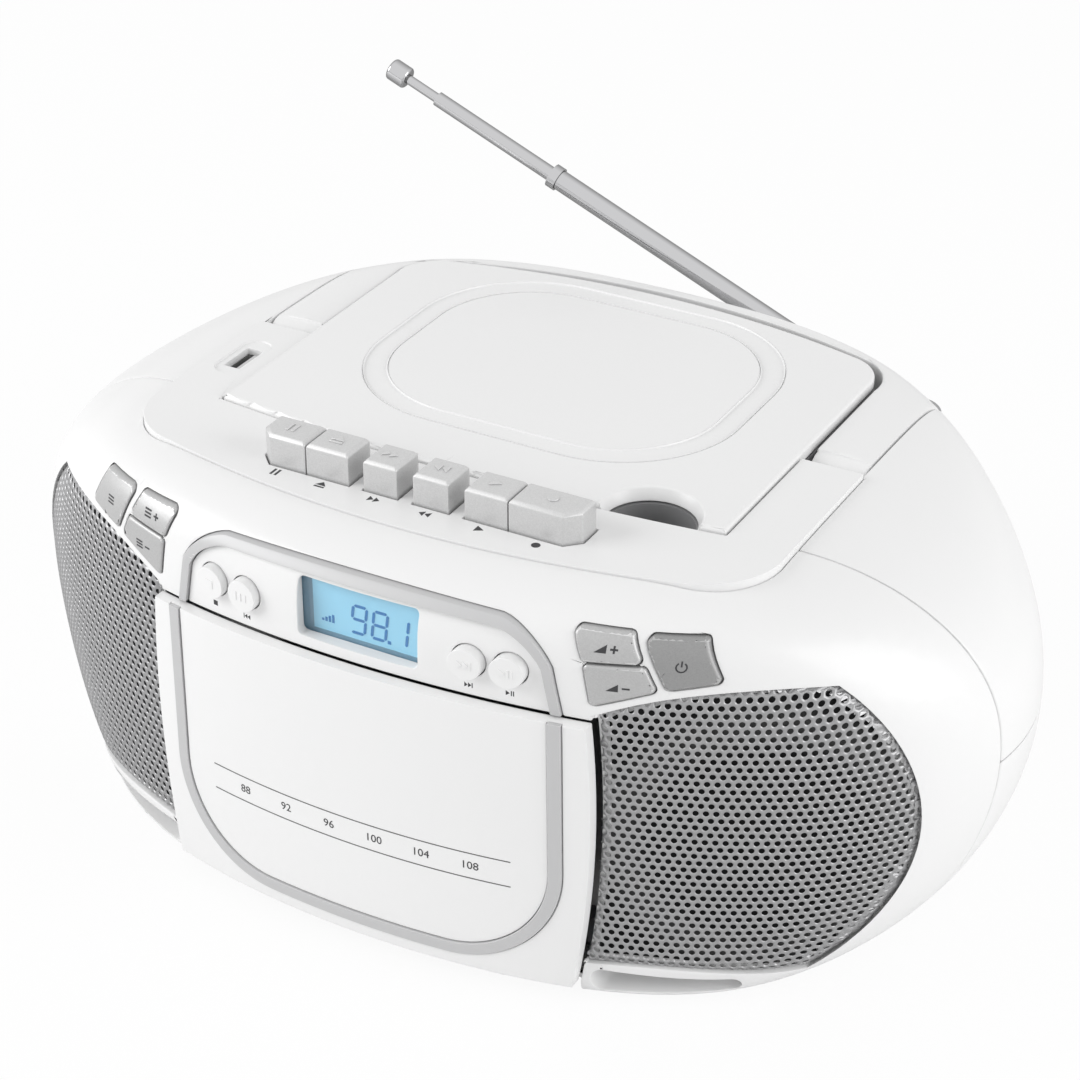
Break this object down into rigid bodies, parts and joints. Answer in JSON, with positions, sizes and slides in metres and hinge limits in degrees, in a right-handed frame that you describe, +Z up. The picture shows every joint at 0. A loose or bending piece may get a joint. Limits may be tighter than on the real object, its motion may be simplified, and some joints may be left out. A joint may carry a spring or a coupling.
{
  "type": "portable cassette, disc and radio player",
  "caption": "Oval portable stereo with a cassette door, a disc lid, piano keys, meshed speakers, a folding handle and a telescopic aerial.",
  "frame": {"origin": "on the floor below the middle of the whole, with the aerial behind the body counted in", "axes": "+X to the right seen from the front, +Y towards the back, +Z up; the cassette door faces -Y"},
  "size_m": [0.3194, 0.2131, 0.1794],
  "materials": {
    "white_body": "satin white moulded plastic",
    "white_button": "satin white moulded plastic",
    "grille_metal": "silver-grey punched sheet",
    "speaker_black": "black paper cone and basket",
    "silver_trim": "satin silver paint on plastic",
    "silver_key": "satin silver paint on plastic",
    "silver_button": "satin silver paint on plastic",
    "clear_window": "clear plastic pane",
    "display_blue": "pale blue backlit display",
    "grey_well": "dark grey moulded plastic",
    "dark_plastic": "black moulded plastic",
    "bare_steel": "plain plated steel",
    "brass_pulley": "turned brass",
    "black_rubber": "soft black rubber",
    "green_board": "green circuit board",
    "chrome": "polished chrome plating"
  },
  "bodies": {
    "cabinet": {"front_cabinet": "white_body", "top_cabinet": "white_body", "rear_cabinet": "white_body", "deck_panel": "white_body", "display_panel": "white_body", "speaker_grille_left": "grille_metal", "speaker_grille_right": "grille_metal", "speaker_left": "speaker_black", "speaker_right": "speaker_black", "arch_trim": "silver_trim", "lcd_window": "clear_window", "lcd_module": "display_blue", "cd_well": "grey_well", "cd_mechanism": "dark_plastic", "cassette_chassis": "bare_steel", "cassette_motor": "bare_steel", "drive_belt": "black_rubber", "tape_head": "bare_steel", "main_board": "green_board", "transformer": "bare_steel", "battery_contacts": "bare_steel", "ac_inlet": "dark_plastic", "audio_jack": "dark_plastic", "data_socket": "bare_steel", "handle_pins": "bare_steel", "rubber_feet": "black_rubber", "screws": "bare_steel"},
    "door": {"cassette_door": "white_body", "door_trim": "silver_trim", "cassette_holder": "dark_plastic"},
    "lid": {"cd_lid": "white_body", "disc_clamp": "dark_plastic"},
    "handle": {"handle": "white_body"},
    "turntable": {"turntable": "dark_plastic"},
    "pickup_sled": {"pickup_sled": "dark_plastic"},
    "take_up_hub": {"take_up_hub": "white_button"},
    "supply_hub": {"supply_hub": "white_button"},
    "flywheel": {"flywheel": "bare_steel"},
    "motor_pulley": {"motor_pulley": "brass_pulley"},
    "battery_door": {"battery_door": "white_body"},
    "antenna_swivel": {"antenna_swivel": "chrome"},
    "antenna_base_tube": {"antenna_base_tube": "chrome"},
    "antenna_middle_tube": {"antenna_middle_tube": "chrome"},
    "antenna_tip": {"antenna_tip": "chrome"},
    "button_stop": {"button_stop": "white_button"},
    "button_skip_back": {"button_skip_back": "white_button"},
    "button_skip_on": {"button_skip_on": "white_button"},
    "button_pair": {"button_pair": "white_button"},
    "button_program": {"button_program": "silver_button"},
    "button_memory_up": {"button_memory_up": "silver_button"},
    "button_memory_down": {"button_memory_down": "silver_button"},
    "button_volume_up": {"button_volume_up": "silver_button"},
    "button_volume_down": {"button_volume_down": "silver_button"},
    "button_power": {"button_power": "silver_button"},
    "key_pause": {"key_pause": "silver_key"},
    "key_stop_eject": {"key_stop_eject": "silver_key"},
    "key_fast_forward": {"key_fast_forward": "silver_key"},
    "key_rewind": {"key_rewind": "silver_key"},
    "key_play": {"key_play": "silver_key"},
    "key_record": {"key_record": "silver_key"}
  },
  "joints": [
    {"name": "door_hinge", "type": "hinge", "parent": "cabinet", "child": "door", "pos_m": [0, -0.093, 0.0085], "axis": [1, 0, 0], "range_deg": [0, 25]},
    {"name": "lid_hinge", "type": "hinge", "parent": "cabinet", "child": "lid", "pos_m": [0, 0.0696, 0.121], "axis": [-1, 0, 0], "range_deg": [0, 28]},
    {"name": "handle_hinge", "type": "hinge", "parent": "cabinet", "child": "handle", "pos_m": [0, 0.0156, 0.1195], "axis": [1, 0, 0], "range_deg": [0, 90]},
    {"name": "turntable_spin", "type": "hinge", "parent": "cabinet", "child": "turntable", "pos_m": [0, 0.0171, 0.113], "axis": [0, 0, 1], "continuous": true},
    {"name": "pickup_slide", "type": "slide", "parent": "cabinet", "child": "pickup_sled", "axis": [0, 1, 0], "range_m": [-0.012, 0.01]},
    {"name": "flywheel_spin", "type": "hinge", "parent": "cabinet", "child": "flywheel", "pos_m": [0.028, -0.0654, 0.084], "axis": [0, 1, 0], "continuous": true},
    {"name": "pulley_spin", "type": "hinge", "parent": "cabinet", "child": "motor_pulley", "pos_m": [-0.04, -0.0644, 0.04], "axis": [0, 1, 0], "continuous": true},
    {"name": "take_up_spin", "type": "hinge", "parent": "cabinet", "child": "take_up_hub", "pos_m": [0.02125, -0.0754, 0.052], "axis": [0, 1, 0], "continuous": true},
    {"name": "supply_spin", "type": "hinge", "parent": "cabinet", "child": "supply_hub", "pos_m": [-0.02125, -0.0754, 0.052], "axis": [0, 1, 0], "continuous": true},
    {"name": "battery_door_pull", "type": "slide", "parent": "cabinet", "child": "battery_door", "axis": [0, 1, 0], "range_m": [0, 0.025]},
    {"name": "antenna_turn", "type": "hinge", "parent": "cabinet", "child": "antenna_swivel", "pos_m": [0.082, 0.1026, 0.095], "axis": [0, 1, 0], "range_deg": [-22.9, 157]},
    {"name": "antenna_elbow", "type": "hinge", "parent": "antenna_swivel", "child": "antenna_base_tube", "pos_m": [0.082, 0.1026, 0.095], "axis": [-0.3891, 0, -0.9212], "range_deg": [0, 90]},
    {"name": "antenna_middle_slide", "type": "slide", "parent": "antenna_base_tube", "child": "antenna_middle_tube", "axis": [-0.9212, 0, 0.3891], "range_m": [-0.044, 0.07]},
    {"name": "antenna_tip_slide", "type": "slide", "parent": "antenna_middle_tube", "child": "antenna_tip", "axis": [-0.9212, 0, 0.3891], "range_m": [-0.011, 0.085]},
    {"name": "button_stop_press", "type": "slide", "parent": "cabinet", "child": "button_stop", "axis": [0, 1, 0], "range_m": [0, 0.0012], "stiffness_N_per_m": 500, "springref_m": -0.001},
    {"name": "button_skip_back_press", "type": "slide", "parent": "cabinet", "child": "button_skip_back", "axis": [0, 1, 0], "range_m": [0, 0.0012], "stiffness_N_per_m": 500, "springref_m": -0.001},
    {"name": "button_skip_on_press", "type": "slide", "parent": "cabinet", "child": "button_skip_on", "axis": [0, 1, 0], "range_m": [0, 0.0012], "stiffness_N_per_m": 500, "springref_m": -0.001},
    {"name": "button_pair_press", "type": "slide", "parent": "cabinet", "child": "button_pair", "axis": [0, 1, 0], "range_m": [0, 0.0012], "stiffness_N_per_m": 500, "springref_m": -0.001},
    {"name": "button_program_press", "type": "slide", "parent": "cabinet", "child": "button_program", "axis": [0, 1, 0], "range_m": [0, 0.0012], "stiffness_N_per_m": 500, "springref_m": -0.001},
    {"name": "button_memory_up_press", "type": "slide", "parent": "cabinet", "child": "button_memory_up", "axis": [0, 1, 0], "range_m": [0, 0.0012], "stiffness_N_per_m": 500, "springref_m": -0.001},
    {"name": "button_memory_down_press", "type": "slide", "parent": "cabinet", "child": "button_memory_down", "axis": [0, 1, 0], "range_m": [0, 0.0012], "stiffness_N_per_m": 500, "springref_m": -0.001},
    {"name": "button_volume_up_press", "type": "slide", "parent": "cabinet", "child": "button_volume_up", "axis": [0, 1, 0], "range_m": [0, 0.0012], "stiffness_N_per_m": 500, "springref_m": -0.001},
    {"name": "button_volume_down_press", "type": "slide", "parent": "cabinet", "child": "button_volume_down", "axis": [0, 1, 0], "range_m": [0, 0.0012], "stiffness_N_per_m": 500, "springref_m": -0.001},
    {"name": "button_power_press", "type": "slide", "parent": "cabinet", "child": "button_power", "axis": [0, 1, 0], "range_m": [0, 0.0012], "stiffness_N_per_m": 500, "springref_m": -0.001},
    {"name": "key_pause_press", "type": "slide", "parent": "cabinet", "child": "key_pause", "axis": [0, 0, -1], "range_m": [0, 0.005], "stiffness_N_per_m": 400, "springref_m": -0.003},
    {"name": "key_stop_eject_press", "type": "slide", "parent": "cabinet", "child": "key_stop_eject", "axis": [0, 0, -1], "range_m": [0, 0.005], "stiffness_N_per_m": 400, "springref_m": -0.003},
    {"name": "key_fast_forward_press", "type": "slide", "parent": "cabinet", "child": "key_fast_forward", "axis": [0, 0, -1], "range_m": [0, 0.005], "stiffness_N_per_m": 400, "springref_m": -0.003},
    {"name": "key_rewind_press", "type": "slide", "parent": "cabinet", "child": "key_rewind", "axis": [0, 0, -1], "range_m": [0, 0.005], "stiffness_N_per_m": 400, "springref_m": -0.003},
    {"name": "key_play_press", "type": "slide", "parent": "cabinet", "child": "key_play", "axis": [0, 0, -1], "range_m": [0, 0.005], "stiffness_N_per_m": 400, "springref_m": -0.003},
    {"name": "key_record_press", "type": "slide", "parent": "cabinet", "child": "key_record", "axis": [0, 0, -1], "range_m": [0, 0.005], "stiffness_N_per_m": 400, "springref_m": -0.003}
  ],
  "couplings": [
    {"joint": "pulley_spin", "follows": "flywheel_spin", "ratio": 4.02},
    {"joint": "take_up_spin", "follows": "flywheel_spin", "ratio": 0.15},
    {"joint": "supply_spin", "follows": "flywheel_spin", "ratio": 0.15}
  ]
}
